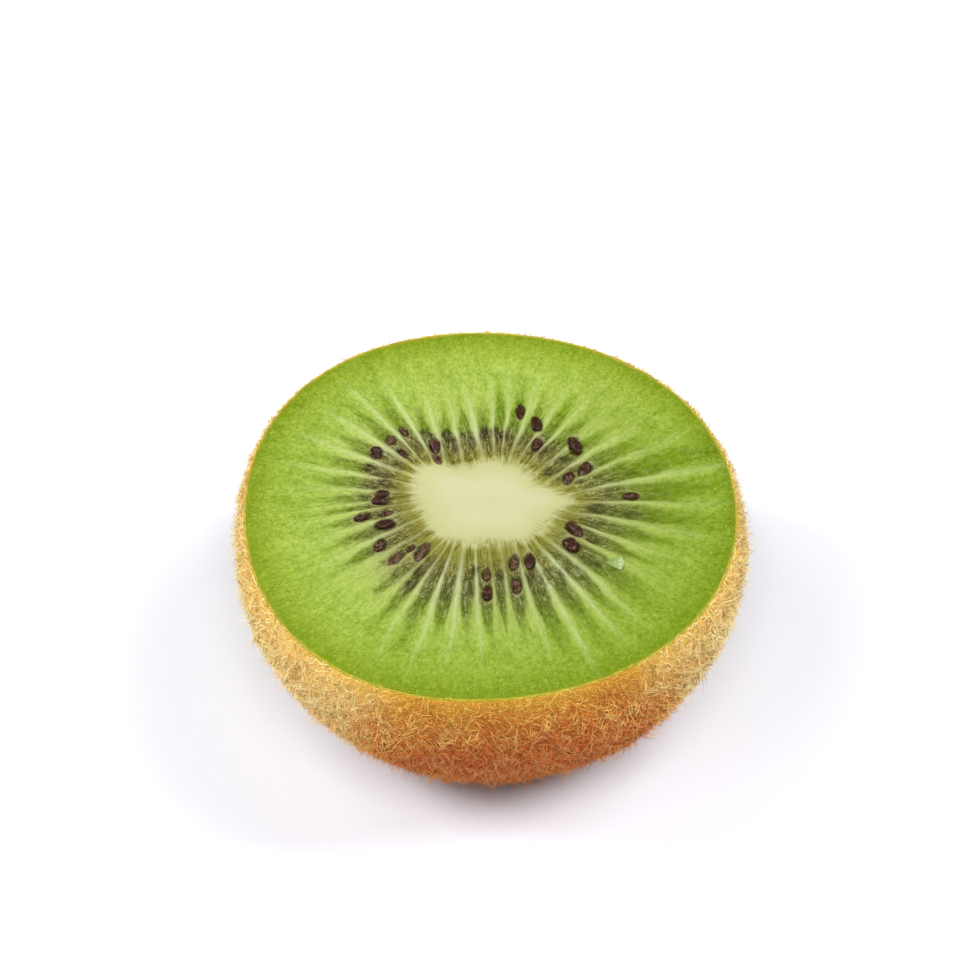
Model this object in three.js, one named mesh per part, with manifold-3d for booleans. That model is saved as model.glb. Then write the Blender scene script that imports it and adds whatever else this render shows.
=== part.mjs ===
// Half of a kiwi fruit, cut across its middle and resting on its blunt end with the cut face up.
// Millimetres, +Z up. The origin is on the flat spot it rests on, under the middle of its bounding box.
//
// flesh: the fruit with its thin skin, a star of locule walls raised on the cut face, and the bared seeds.
// core:  the pale core, a tapering spindle that runs down through the flesh from the cut face.
//
// Both are bodies of revolution, made uneven by the same warp, so they keep fitting each other.

import * as THREE from "three";
import { mergeVertices } from "three/addons/utils/BufferGeometryUtils.js";
import Module from "manifold-3d";

const { smoothstep, degToRad } = THREE.MathUtils;

// The whole half.
const FACE_RADIUS = 26.5; // mean radius of the cut face, skin included
const DEPTH = 27.8; // from the cut face down to the resting spot
const FOOT_RADIUS = 4.5; // flat spot at the blunt end
const BELLY = 0.039; // most that the side swells below the cut, as a share of the radius
const BELLY_END = 0.6; // share of the depth where the swelling has gone
const END_POWER = 2.43; // the two powers of the blunt end's curve
const SIDE_POWER = 2.4;
const LEAN = 1.9; // how far the blunt end stands to the +X side of the middle of the cut face
const LOBES = [
  // how the outline leaves the circle: lobes round it, their height as a share of the radius, a lobe's bearing
  { count: 3, height: 0.012, bearing: degToRad(2) },
  { count: 4, height: 0.01, bearing: degToRad(48) },
];

// The core, and the rays that spread from it.
const CORE_CENTRE = new THREE.Vector2(0.33, 1.32);
const CORE_RADIUS = 7; // nominal, before the warp gives it its outline
const CORE_DEPTH = 21;
const CORE_TIP_RADIUS = 1.6;
const CORE_GAP = 0.4; // nominal clearance between core and flesh
const RAY_FAN = 4; // rays start along a line that reaches this far to both sides of the core's centre
// Below, one value for each sixteenth of a turn round the core.
// How far a ray runs inside the core.
const CORE_REACH = [4.6, 3.9, 3.7, 5.4, 6.0, 5.4, 6.6, 4.7, 3.7, 3.7, 4.8, 6.3, 6.2, 6.0, 4.5, 3.7];
// How many degrees a ray stands off an even fan where it leaves the core, and where it meets the rim.
const SWAY_AT_CORE = [-4, 10, 19, 12, 3, 6, 0, -1, 2, 9, 13, 1, -6, -11, -17, -15];
const SWAY_AT_RIM = [-2, 13, 11, 10, 8, -6, -1, 10, 10, 9, 2, 5, 1, -12, -11, -8];

// The star of locule walls on the cut face.
const LOCULES = 39;
const SEGMENTS_PER_LOCULE = 3;
const WALL_RISE = 0.22; // height of a wall over the middle level of the cut

// The seeds that the knife bared: place round the core counted in locules, distance from the core's edge,
// length, width, and how many degrees the seed is turned off its ray.
const SEED_SUNK = 0.22; // how far a seed's middle lies below the cut
const SEED_THICKNESS = 0.85; // as a share of its width
const BARED_SEEDS = [
  [0.39, 6.3, 1.7, 1, 1], [2.3, 2, 1.8, 1.1, 41], [2.33, 4.3, 2, 1.3, 23], [3.95, 6.1, 2.5, 1.3, 54],
  [5.63, 3.4, 1.8, 1.1, 11], [6.36, 6, 2.2, 1.1, 33], [7.44, 7.3, 2.1, 0.9, 11], [12.64, 2.9, 2, 1.1, -7],
  [12.8, 0.8, 1.7, 0.7, 9], [13.74, 5.7, 1.5, 0.8, 3], [14.48, 5.2, 1.3, 1, -39],
  [14.62, 3, 1.8, 0.7, -5], [15.39, 5.2, 1.6, 1.2, -45], [18.08, 3.6, 1.5, 0.9, -1],
  [18.84, 3.9, 1.9, 1.1, -3], [20.24, 4, 1.6, 0.7, 0], [20.11, 6.4, 1.9, 1, 1],
  [21.28, 4.5, 2.1, 1.3, -14], [22.6, 6.3, 1.7, 1.1, 25], [23.97, 5.8, 2.3, 1.1, 13],
  [23.93, 3.7, 1.2, 0.7, 21], [24.61, 3.2, 2.3, 1.2, 15], [29.45, 4.3, 1.7, 0.9, -3],
  [29.36, 6.8, 2.2, 1, -6], [31.64, 2.7, 2, 1.1, -13], [32.68, 3, 2.2, 1.1, -14],
  [31.48, 5.9, 2.2, 1, -6], [35.34, 3.8, 2.1, 1.5, -17], [36.39, 2.9, 2.3, 1.4, -27],
];

const wasm = await Module();
wasm.setup();

// A smooth value between evenly spaced ones that repeat round the circle (Catmull-Rom).
function roundTheCircle(values, turn) {
  const place = (((turn / (2 * Math.PI)) % 1) + 1) * values.length;
  const first = Math.floor(place);
  const f = place - first;
  const [a, b, c, d] = [-1, 0, 1, 2].map((k) => values[(first + k + values.length) % values.length]);
  return 0.5 * (2 * b + (c - a) * f + (2 * a - 5 * b + 4 * c - d) * f * f + (3 * b - a - 3 * c + d) * f ** 3);
}

// Radius of the fruit's outline at a bearing, as a share of its mean radius.
function outline(bearing) {
  return LOBES.reduce((sum, lobe) => sum + lobe.height * Math.cos(lobe.count * (bearing - lobe.bearing)), 1);
}

// A point of the cut face, on the ray of this bearing, this far from the ray's start.
function onRay(bearing, distance) {
  return new THREE.Vector2(Math.cos(bearing), Math.sin(bearing))
    .multiplyScalar(distance)
    .add(CORE_CENTRE)
    .add(new THREE.Vector2(RAY_FAN * Math.cos(bearing), 0));
}

// The two ends of the ray at an angle of the even fan: where it leaves the core, and where it meets the
// outline of the cut face, which each step nears by what is still missing.
function coreEnd(angle) {
  const bearing = angle + degToRad(roundTheCircle(SWAY_AT_CORE, angle));
  return onRay(bearing, roundTheCircle(CORE_REACH, bearing));
}

function rimEnd(angle) {
  const bearing = angle + degToRad(roundTheCircle(SWAY_AT_RIM, angle));
  let distance = FACE_RADIUS;
  for (let step = 0; step < 12; step++) {
    const reached = onRay(bearing, distance);
    distance += FACE_RADIUS * outline(reached.angle()) - reached.length();
  }
  return onRay(bearing, distance);
}

// Height of the locule walls over the cut: none on the core, most beside it, none in the outer flesh.
function wallHeight(angle, outward) {
  const fade = smoothstep(outward, 0, 0.12) * (1 - smoothstep(outward, 0.4, 0.68));
  return WALL_RISE * fade * Math.cos(LOCULES * angle);
}

// Moves a point of a body of revolution to its place in the uneven fruit. At the cut face the circle of
// CORE_RADIUS becomes the core's outline and that of FACE_RADIUS the fruit's; near the end both are round
// and stand aside by LEAN.
function uneven(point) {
  const angle = Math.atan2(point.y, point.x);
  const radius = Math.hypot(point.x, point.y);
  const outward = (radius - CORE_RADIUS) / (FACE_RADIUS - CORE_RADIUS);
  const edge = coreEnd(angle);
  const rim = rimEnd(angle);
  const round = rim.clone().multiplyScalar(radius / FACE_RADIUS);
  const shaped =
    outward < 0 ? CORE_CENTRE.clone().lerp(edge, radius / CORE_RADIUS) : edge.lerp(rim, outward);
  const place = round.lerp(shaped, smoothstep(point.z, 0.2 * DEPTH, 0.8 * DEPTH));
  const aside = LEAN * ((DEPTH - point.z) / DEPTH) ** 2;
  const onCut = point.z > DEPTH - 1e-3 && outward > 0 && outward < 1;
  return point.set(place.x + aside, place.y, point.z + (onCut ? wallHeight(angle, outward) : 0));
}

// A solid of revolution about Z from [radius, height] pairs, made uneven.
function unevenLathe(profile) {
  const points = profile.map(([radius, height]) => new THREE.Vector2(radius, height));
  const geometry = new THREE.LatheGeometry(points, LOCULES * SEGMENTS_PER_LOCULE);
  geometry.rotateX(Math.PI / 2).rotateZ(Math.PI / 2); // upright, with its first segment along +X, on a wall
  const position = geometry.getAttribute("position");
  const point = new THREE.Vector3();
  for (let i = 0; i < position.count; i++) {
    uneven(point.fromBufferAttribute(position, i));
    position.setXYZ(i, point.x, point.y, point.z);
  }
  return geometry;
}

function steps(count, from, to) {
  return Array.from({ length: count + 1 }, (_, i) => from + ((to - from) * i) / count);
}

// Radius of the fruit at a share of its full depth below the cut, as a share of the face's radius.
function girth(share) {
  const x = Math.min(share / BELLY_END, 1);
  const swelling = 1 + BELLY * (27 / 4) * x * (1 - x) ** 2; // it peaks at a third of BELLY_END
  return swelling * (1 - share ** END_POWER) ** (1 / SIDE_POWER);
}

// From the axis of the resting spot out and up to the rim of the cut face.
function skinProfile() {
  const footShare = (1 - (FOOT_RADIUS / FACE_RADIUS) ** SIDE_POWER) ** (1 / END_POWER);
  const rings = 18;
  // The rings crowd towards the blunt end, where the curve is tight.
  const shares = steps(rings, 1, 0).map((s) => footShare * Math.sin((s * Math.PI) / 2));
  return [[0, 0], ...shares.map((share) => [FACE_RADIUS * girth(share), DEPTH * (1 - share / footShare)])];
}

// The core's side, from its tip up to the cut face, widened by the clearance.
function coreProfile(clearance) {
  const tip = DEPTH - CORE_DEPTH;
  return steps(6, 0, 1).map((s) => {
    const radius = CORE_TIP_RADIUS + (CORE_RADIUS - CORE_GAP - CORE_TIP_RADIUS) * Math.sin((s * Math.PI) / 2);
    return [radius + clearance, tip - clearance + (CORE_DEPTH + clearance) * s];
  });
}

function makeFlesh() {
  const cut = steps(9, FACE_RADIUS, CORE_RADIUS).slice(1, -1).map((radius) => [radius, DEPTH]);
  const pit = coreProfile(CORE_GAP).reverse();
  return unevenLathe([...skinProfile(), ...cut, ...pit, [0, pit.at(-1)[1]]]);
}

function makeCore() {
  const side = coreProfile(0);
  return unevenLathe([[0, side[0][1]], ...side, [0, DEPTH]]);
}

// A seed lying on its side, half sunk in the cut.
function makeSeed(locule, fromCore, length, width, turn) {
  const angle = (2 * Math.PI * locule) / LOCULES;
  const edge = coreEnd(angle);
  const along = rimEnd(angle).sub(edge).normalize();
  const place = edge.addScaledVector(along, fromCore);
  return new THREE.SphereGeometry(0.5, 8, 4)
    .scale(length, SEED_THICKNESS * width, width)
    .rotateX(Math.PI / 2)
    .rotateZ(along.angle() + degToRad(turn))
    .translate(place.x, place.y, DEPTH - SEED_SUNK);
}

function toSolid(geometry) {
  const bare = geometry.clone().deleteAttribute("normal").deleteAttribute("uv");
  const merged = mergeVertices(bare, 1e-3);
  const vertProperties = merged.getAttribute("position").array;
  const triVerts = new Uint32Array(merged.index.array);
  return new wasm.Manifold(new wasm.Mesh({ numProp: 3, vertProperties, triVerts }));
}

function toGeometry(solid) {
  const mesh = solid.getMesh();
  const geometry = new THREE.BufferGeometry();
  geometry.setAttribute("position", new THREE.BufferAttribute(mesh.vertProperties, mesh.numProp));
  geometry.setIndex(new THREE.BufferAttribute(mesh.triVerts, 1));
  geometry.computeVertexNormals();
  return geometry;
}

const fleshWithSeeds = BARED_SEEDS.reduce(
  (solid, seed) => solid.add(toSolid(makeSeed(...seed))),
  toSolid(makeFlesh()),
);

const flesh = new THREE.Mesh(
  toGeometry(fleshWithSeeds),
  new THREE.MeshStandardMaterial({ color: 0x94bf3c, roughness: 0.35, metalness: 0 }),
);
flesh.name = "flesh";

const core = new THREE.Mesh(
  makeCore(),
  new THREE.MeshStandardMaterial({ color: 0xdfe3b0, roughness: 0.4, metalness: 0 }),
);
core.name = "core";

const half = new THREE.Group();
half.name = "kiwi_half";
half.add(flesh, core);

// The origin goes under the middle of the box.
const middle = new THREE.Box3().setFromObject(flesh).getCenter(new THREE.Vector3());
flesh.position.set(-middle.x, -middle.y, 0);
core.position.copy(flesh.position);

export default half;
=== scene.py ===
import math
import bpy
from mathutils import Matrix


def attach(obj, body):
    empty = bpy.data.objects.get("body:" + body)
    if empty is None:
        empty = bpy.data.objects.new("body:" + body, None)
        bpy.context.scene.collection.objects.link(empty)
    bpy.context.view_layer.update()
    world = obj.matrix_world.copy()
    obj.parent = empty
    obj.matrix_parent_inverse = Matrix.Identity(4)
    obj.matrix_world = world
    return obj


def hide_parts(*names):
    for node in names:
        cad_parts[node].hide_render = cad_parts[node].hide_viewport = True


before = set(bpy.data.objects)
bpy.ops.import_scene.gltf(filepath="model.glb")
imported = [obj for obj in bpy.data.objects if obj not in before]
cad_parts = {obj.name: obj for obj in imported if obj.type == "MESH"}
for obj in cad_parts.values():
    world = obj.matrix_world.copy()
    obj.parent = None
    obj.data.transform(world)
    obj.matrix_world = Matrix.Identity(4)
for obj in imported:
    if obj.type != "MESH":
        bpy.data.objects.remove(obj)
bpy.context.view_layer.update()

from types import SimpleNamespace

import bpy
import numpy as np
from mathutils import Quaternion, Vector

# Sizes are in millimetres up to make_piece, which turns them into metres.
MM = 0.001
TURN = 2 * np.pi
LIGHT_LEVEL = 1.73  # of the studio's light on a level surface, where 1 shows a colour as it is
SIDE_LEVEL = 0.86  # of the same light on the sides
rng = np.random.default_rng(20)

# ---- the fruit's form, as in the CAD source
FACE_RADIUS = 26.5  # of the cut face with its skin
DEPTH = 27.8  # from the cut to the flat spot
FOOT_RADIUS = 4.5  # of the flat spot
BELLY = 0.039  # most that the side swells below the cut, as a share of the radius
BELLY_END = 0.6  # share of the depth where the swelling has gone
END_POWER = 2.43  # the two powers of the blunt end's curve
SIDE_POWER = 2.4
LEAN = 1.9  # how far the blunt end stands to the +X side
LOBES = [(3, 0.012, math.radians(2)), (4, 0.01, math.radians(48))]  # count, height, bearing
CORE_CENTRE = np.array([0.33, 1.32])
CORE_RADIUS = 7.0
CORE_DEPTH = 21.0
RAY_FAN = 4.0  # rays start along a line this far to both sides of the core's centre
# Every sixteenth of a turn: mm of a ray inside the core, degrees of sway at the core and at the rim.
CORE_REACH = [4.6, 3.9, 3.7, 5.4, 6.0, 5.4, 6.6, 4.7, 3.7, 3.7, 4.8, 6.3, 6.2, 6.0, 4.5, 3.7]
SWAY_AT_CORE = [-4, 10, 19, 12, 3, 6, 0, -1, 2, 9, 13, 1, -6, -11, -17, -15]
SWAY_AT_RIM = [-2, 13, 11, 10, 8, -6, -1, 10, 10, 9, 2, 5, 1, -12, -11, -8]
LOCULES = 39

# What only the visual model has.
SKIN = 0.3  # thickness of the skin
SKIN_FOOT = 0.5  # height of the skin's inner side over the flat spot
FLESH_FOOT = 0.6  # and of the flesh's underside
CORE_SINK = 0.05  # how far the core's middle lies below the cut
RAY_START = 6.6  # from where the rays would meet to the core's edge
# Where the zones of the flesh end, in mm from the core, for each sixteenth of a turn.
OLIVE_END = [1.6, 1.0, 0.9, 0.8, 0.6, 0.8, 1.5, 2.2, 2.4, 2.6, 2.8, 3.0, 3.0, 2.8, 2.6, 2.2]
SEED_ZONE_END = [4.2, 4.2, 4.0, 3.8, 4.0, 4.4, 4.6, 4.8, 5.0, 5.6, 6.2, 6.0, 5.8, 5.6, 5.4, 4.8]
GREY_END = [7.4, 6.8, 5.6, 4.8, 4.6, 5.2, 6.2, 6.8, 7.4, 8.4, 9.4, 9.8, 10.0, 10.2, 9.6, 8.4]
LOCULE_END = [15.0, 14.3, 13.6, 12.6, 12.4, 12.4, 12.4, 12.6, 13.2, 13.6, 14.0, 14.2, 14.4, 14.2, 14.2, 14.6]
# For the same bearings: how far outside its solid's edge the core's colour ends, in mm.
CORE_SHIFT = [0, -0.6, -0.65, -0.45, -0.45, -0.2, 0.2, 0.5, 0.5, 0.5, 0.5, 0.2, 0, 0, 0.1, 0.1]
# And how pale the flesh beyond the locules is, where 0 is the middle shade.
PALENESS = [-1, -0.3, 0.5, 0.9, 1, 1, -0.1, -0.2, 0.5, 0.7, 0.7, 0.3, -0.1, -0.2, -0.4, -0.8]
# Each wall: how far it stands off its place in the even fan, in locules, and how bright its crest is, with
# the painted wet highlight on it.
WALL_SHIFT = [
    0, 0, -0.05, 0, 0.13, 0.13, 0.08, 0.12, 0.05, -0.16, -0.12, 0.18, 0.33, 0.27, 0.12, -0.03, -0.15, -0.27,
    -0.12, 0, -0.35, -0.25, 0.06, 0.34, 0.25, 0.2, 0, -0.16, -0.2, -0.24, -0.2, -0.21, 0, -0.05, -0.15,
    -0.33, -0.05, -0.17, -0.12,
]
WALL_SHINE = [
    0.4, 0.5, 0.3, 0.55, 0.25, 0.55, 0.5, 0.45, 0.5, 0.7, 1, 0.95, 0.8, 0.95, 0.75, 0.65, 0.65, 0.45, 0.4,
    0, 0.2, 0.3, 0.4, 0.35, 0.1, 0.1, 0.5, 1, 0.9, 1, 0, 0.3, 0.6, 0.9, 1, 0.6, 0.2, 0.4, 0.4,
]
# Each locule: how dark it is beyond the seeds, and how long it is for its place.
LOCULE_DARK = [
    1.13, 1.12, 1.0, 1.0, 0.85, 0.95, 0.9, 1.1, 0.95, 0.78, 0.82, 0.82, 0.8, 0.82, 0.86, 0.84, 0.8, 0.76,
    0.76, 0.85, 0.88, 0.86, 0.85, 0.63, 0.77, 0.93, 0.93, 0.95, 0.8, 1, 0.95, 1, 1.0, 0.92, 1.08, 1.16,
    1.06, 1.0, 1.12,
]
LOCULE_LENGTH = [
    1.15, 1.5, 0.95, 0.9, 0.9, 0.95, 0.95, 1.1, 1, 0.85, 0.8, 0.8, 0.9, 1.2, 1.1, 1, 1.15, 1.05, 1.05, 1, 1,
    1, 1, 0.8, 1, 1.15, 1.25, 1.05, 1.05, 1.05, 0.95, 1, 1.25, 1.25, 1.05, 1.2, 0.85, 1, 1.15,
]
COLUMNS = LOCULES * 20
FACE_RINGS = 96
CORE_RINGS = 26

# Bared seeds: place round the core counted in locules, mm from the core's edge, length, width, degrees off
# its ray, how clean it is of flesh.
BARED_SEEDS = [
    (0.39, 6.3, 1.7, 1.0, 1, 0.9), (2.30, 2.0, 1.8, 1.1, 41, 0.7), (2.33, 4.3, 2.0, 1.3, 23, 0.8),
    (3.95, 6.1, 2.5, 1.3, 54, 1.0), (5.63, 3.4, 1.8, 1.1, 11, 0.8), (6.36, 6.0, 2.2, 1.1, 33, 1.0),
    (7.44, 7.3, 2.1, 0.9, 11, 0.9), (12.64, 2.9, 2.0, 1.1, -7, 0.7), (12.80, 0.8, 1.7, 0.7, 9, 0.5),
    (13.74, 5.7, 1.5, 0.8, 3, 0.8), (14.48, 5.2, 1.3, 1.0, -39, 0.5), (14.62, 3.0, 1.8, 0.7, -5, 0.8),
    (15.39, 5.2, 1.6, 1.2, -45, 1.0), (18.08, 3.6, 1.5, 0.9, -1, 0.9), (18.84, 3.9, 1.9, 1.1, -3, 1.0),
    (20.24, 4.0, 1.6, 0.7, 0, 0.6), (20.11, 6.4, 1.9, 1.0, 1, 0.9), (21.28, 4.5, 2.1, 1.3, -14, 1.0),
    (22.60, 6.3, 1.7, 1.1, 25, 0.7), (23.97, 5.8, 2.3, 1.1, 13, 0.4), (23.93, 3.7, 1.2, 0.7, 21, 0.7),
    (24.61, 3.2, 2.3, 1.2, 15, 0.5), (29.45, 4.3, 1.7, 0.9, -3, 0.6), (29.36, 6.8, 2.2, 1.0, -6, 0.9),
    (31.64, 2.7, 2.0, 1.1, -13, 0.6), (32.68, 3.0, 2.2, 1.1, -14, 0.9), (31.48, 5.9, 2.2, 1.0, -6, 0.5),
    (35.34, 3.8, 2.1, 1.5, -17, 1.0), (36.39, 2.9, 2.3, 1.4, -27, 1.0),
]
# Seeds that show through the flesh: place, mm from the core's edge, how clearly.
DIM_SEEDS = [
    (11.8, 4.5, 0.8), (12.9, 4.9, 0.5), (9.4, 3.7, 0.8), (8.7, 3.8, 0.7), (8.1, 3.3, 0.8), (16.2, 5.1, 0.7),
    (16.5, 3.5, 0.7), (17.1, 3.2, 0.7), (15.6, 5.2, 0.5), (15.5, 2.3, 0.4), (3.6, 1.5, 0.8),
    (3.7, 3.8, 0.6), (38.5, 3.3, 0.9), (38.4, 7.3, 0.8), (1.4, 7.9, 0.4), (25.5, 5.3, 0.6),
    (25.6, 7.4, 0.7), (28.6, 3.8, 0.7), (36.3, 5.3, 0.8), (35.2, 7.2, 0.7), (32.9, 6.0, 0.6),
    (30.4, 4.3, 0.6), (33.9, 6.1, 0.5), (27.2, 6.4, 0.5), (25.6, 3.7, 0.5), (11.4, 3.0, 0.5),
    (10.4, 2.9, 0.5), (33.4, 7.6, 0.4), (32.3, 5.2, 0.4), (34.5, 7.2, 0.4), (24.3, 8.2, 0.4),
    (26.6, 4.4, 0.4), (5.0, 2.6, 0.5), (2.9, 2.8, 0.3), (28.4, 6.6, 0.4), (37.4, 4.6, 0.5),
]
LEAST_DIM_SEED, LARGEST_DIM_SEED = (1.4, 0.8), (2.2, 1.2)  # length and width
SEED_DENT = 0.16  # depth of the dent round a bared seed
SEED_SINK, FILMED_SEED_SINK = 0.142, 0.22  # of a clean seed's middle, and what a full film adds
SCRAP_AT = (35.7, 9.0)
SCRAP_SIZE = np.array([0.95, 1.05, 0.34])  # half its length, width and thickness
SCRAP_TURN = 35  # degrees off its ray


def smoothstep(x, low, high):
    t = np.clip((x - low) / (high - low), 0, 1)
    return t * t * (3 - 2 * t)


def round_the_circle(values, turn):
    """A smooth value between evenly spaced ones that repeat round the circle."""
    values = np.asarray(values, float)
    place = turn / TURN % 1 * len(values)
    first = np.floor(place).astype(int)
    f = place - first
    a, b, c, d = (values[(first + k) % len(values)] for k in (-1, 0, 1, 2))
    return 0.5 * (2 * b + (c - a) * f + (2 * a - 5 * b + 4 * c - d) * f**2 + (3 * b - a - 3 * c + d) * f**3)


def per_locule(values, across):
    """One value for each locule, which runs smoothly into the next between their middles."""
    return round_the_circle(values, (across - 0.5) / LOCULES * TURN)


def outline(bearing):
    return 1 + sum(h * np.cos(n * (bearing - at)) for n, h, at in LOBES)


def on_ray(bearing, distance):
    x = CORE_CENTRE[0] + (RAY_FAN + distance) * np.cos(bearing)
    return np.stack([x, CORE_CENTRE[1] + distance * np.sin(bearing)], -1)


def core_end(angle):
    bearing = angle + np.radians(round_the_circle(SWAY_AT_CORE, angle))
    return on_ray(bearing, round_the_circle(CORE_REACH, bearing))


def rim_end(angle):
    bearing = angle + np.radians(round_the_circle(SWAY_AT_RIM, angle))
    distance = np.full_like(bearing, FACE_RADIUS)
    for _ in range(12):
        x, y = np.moveaxis(on_ray(bearing, distance), -1, 0)
        distance = distance + FACE_RADIUS * outline(np.arctan2(y, x)) - np.hypot(x, y)
    return on_ray(bearing, distance)


def lean(z):
    """How far the fruit stands to the +X side at a height."""
    return LEAN * ((DEPTH - z) / DEPTH) ** 2


def uneven(angle, radius, z):
    """The place in the uneven fruit of a point of the round one."""
    angle, radius, z = np.broadcast_arrays(angle, radius, z)
    edge, rim = core_end(angle), rim_end(angle)
    outward = ((radius - CORE_RADIUS) / (FACE_RADIUS - CORE_RADIUS))[..., None]
    inside = CORE_CENTRE + (edge - CORE_CENTRE) * (radius / CORE_RADIUS)[..., None]
    shaped = np.where(outward < 0, inside, edge + (rim - edge) * outward)
    round_one = rim * (radius / FACE_RADIUS)[..., None]
    fade = smoothstep(z, 0.2 * DEPTH, 0.8 * DEPTH)[..., None]
    aside = np.stack([lean(z), 0 * z], -1)
    return np.concatenate([round_one + (shaped - round_one) * fade + aside, z[..., None]], -1)


def girth(share):
    """Radius at a share of the depth, where 1 is that of the cut face."""
    x = np.minimum(share / BELLY_END, 1)
    swelling = 1 + BELLY * 27 / 4 * x * (1 - x) ** 2  # 27 / 4 makes the swelling's top equal to BELLY
    return swelling * (1 - share**END_POWER) ** (1 / SIDE_POWER)


FOOT_SHARE = (1 - (FOOT_RADIUS / FACE_RADIUS) ** SIDE_POWER) ** (1 / END_POWER)
angles = np.arange(COLUMNS) / COLUMNS * TURN


def side_profile(count):
    """Radius and height down the side, from the cut to the foot."""
    share = FOOT_SHARE * np.sin(np.linspace(0, 1, count + 1) * np.pi / 2)
    return FACE_RADIUS * girth(share), DEPTH * (1 - share / FOOT_SHARE)


def waves(points, size, count=14):
    """Soft noise of about -1 to 1 with features of this size, as a sum of waves in random directions."""
    total = 0
    for _ in range(count):
        direction = rng.normal(size=points.shape[-1])
        direction *= rng.uniform(0.7, 1.4) / np.linalg.norm(direction)
        total = total + np.sin(points @ direction * (np.pi / size) + rng.uniform(0, TURN))
    return total / math.sqrt(count)


def middle_of_box():
    """The middle of the side's box, which the origin is under, as in the CAD model."""
    radius, z = side_profile(40)
    side = uneven(angles[None, :], radius[:, None], z[:, None])
    return np.append((side.min((0, 1)) + side.max((0, 1)))[:2] / 2, 0)


def on_axis(z):
    return np.array([lean(z), 0, z])


def inside_skin(bearings, count, foot):
    """Rings down inside the skin, from just under the cut to this height over the flat spot."""
    radius, z = side_profile(count)
    return uneven(bearings, (radius - SKIN)[1:, None], (z * (DEPTH - foot) / DEPTH + foot)[1:, None])


def round_the_core():
    """Rings down the core's side, from just under the cut to its blunt tip."""
    low = np.linspace(0.25, 1, 4)[:, None]
    return uneven(angles, CORE_RADIUS * np.sqrt(1 - 0.9 * low**2), DEPTH - CORE_DEPTH * low)


MIDDLE = middle_of_box()


# ---- meshes
def make_piece(name, points, faces, material, smooth_below=60):
    """A mesh object in the row frame from points in millimetres and arrays of faces."""
    mesh = bpy.data.meshes.new(name)
    mesh.vertices.add(len(points))
    mesh.vertices.foreach_set("co", ((points - MIDDLE) * MM).astype(np.float32).ravel())
    corners = np.concatenate([f.ravel() for f in faces]).astype(np.int32)
    sizes = np.concatenate([np.full(len(f), f.shape[1]) for f in faces])
    mesh.loops.add(len(corners))
    mesh.loops.foreach_set("vertex_index", corners)
    mesh.polygons.add(len(sizes))
    mesh.polygons.foreach_set("loop_start", (np.cumsum(sizes) - sizes).astype(np.int32))
    mesh.update(calc_edges=True)
    mesh.validate()
    mesh.polygons.foreach_set("use_smooth", np.ones(len(mesh.polygons), bool))
    if smooth_below:
        mesh.set_sharp_from_angle(angle=math.radians(smooth_below))
    mesh.materials.append(material)
    piece = bpy.data.objects.new(name, mesh)
    bpy.context.scene.collection.objects.link(piece)
    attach(piece, "root")
    return piece


def add_attribute(piece, name, values):
    values = np.asarray(values, np.float32)
    kind, key = ("FLOAT", "value") if values.ndim == 1 else ("FLOAT_VECTOR", "vector")
    piece.data.attributes.new(name, kind, "POINT").data.foreach_set(key, values.ravel())


def ring_faces(rings, columns):
    """Four-sided faces between rings of points, numbered ring by ring."""
    i = np.arange(rings * columns).reshape(rings, columns)
    j = np.roll(i, -1, 1)
    return np.stack([i[:-1], j[:-1], j[1:], i[1:]], -1).reshape(-1, 4)


def unit(vectors):
    return vectors / np.linalg.norm(vectors, axis=-1, keepdims=True)


def rotation(angle, first, second):
    """The matrix that turns rows of points from one axis towards another."""
    matrix = np.eye(3)
    matrix[first, first] = matrix[second, second] = math.cos(angle)
    matrix[first, second] = math.sin(angle)
    matrix[second, first] = -math.sin(angle)
    return matrix


def lengthwise_rings(rings, sides):
    """For rings across a round solid of length 2: their places along it, their radii, and the turns."""
    polar = np.linspace(0, np.pi, rings + 2)[1:-1, None]
    turn = np.arange(sides)[None, :] / sides * TURN
    return -np.cos(polar) + 0 * turn, np.sin(polar), turn


def lengthwise_solid(shape, size):
    """Points and faces of a solid along X, from rings of a shape of length 2 and its half sizes."""
    return closed_rings(shape * size, np.array([-size[0], 0, 0]), np.array([size[0], 0, 0]))


def closed_rings(rings, first, last):
    """Points and faces of a closed solid: rings, with a point that closes each end."""
    count, columns = rings.shape[:2]
    points = np.vstack([rings.reshape(-1, 3), first, last])
    i = np.arange(columns)
    j = (i + 1) % columns
    base = (count - 1) * columns
    start = np.stack([np.full(columns, count * columns), j, i], -1)
    end = np.stack([np.full(columns, count * columns + 1), base + i, base + j], -1)
    return points, [ring_faces(count, columns), start, end]


# ---- node helpers
def linear(rgb, level=LIGHT_LEVEL):
    """Linear colour of a surface that looks like these sRGB values of 0 to 255 in light of this level."""
    c = np.asarray(rgb, float) / 255
    seen = np.where(c <= 0.04045, c / 12.92, ((c + 0.055) / 1.055) ** 2.4)
    return (*np.clip(seen / level, 0, 0.95), 1.0)


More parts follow.
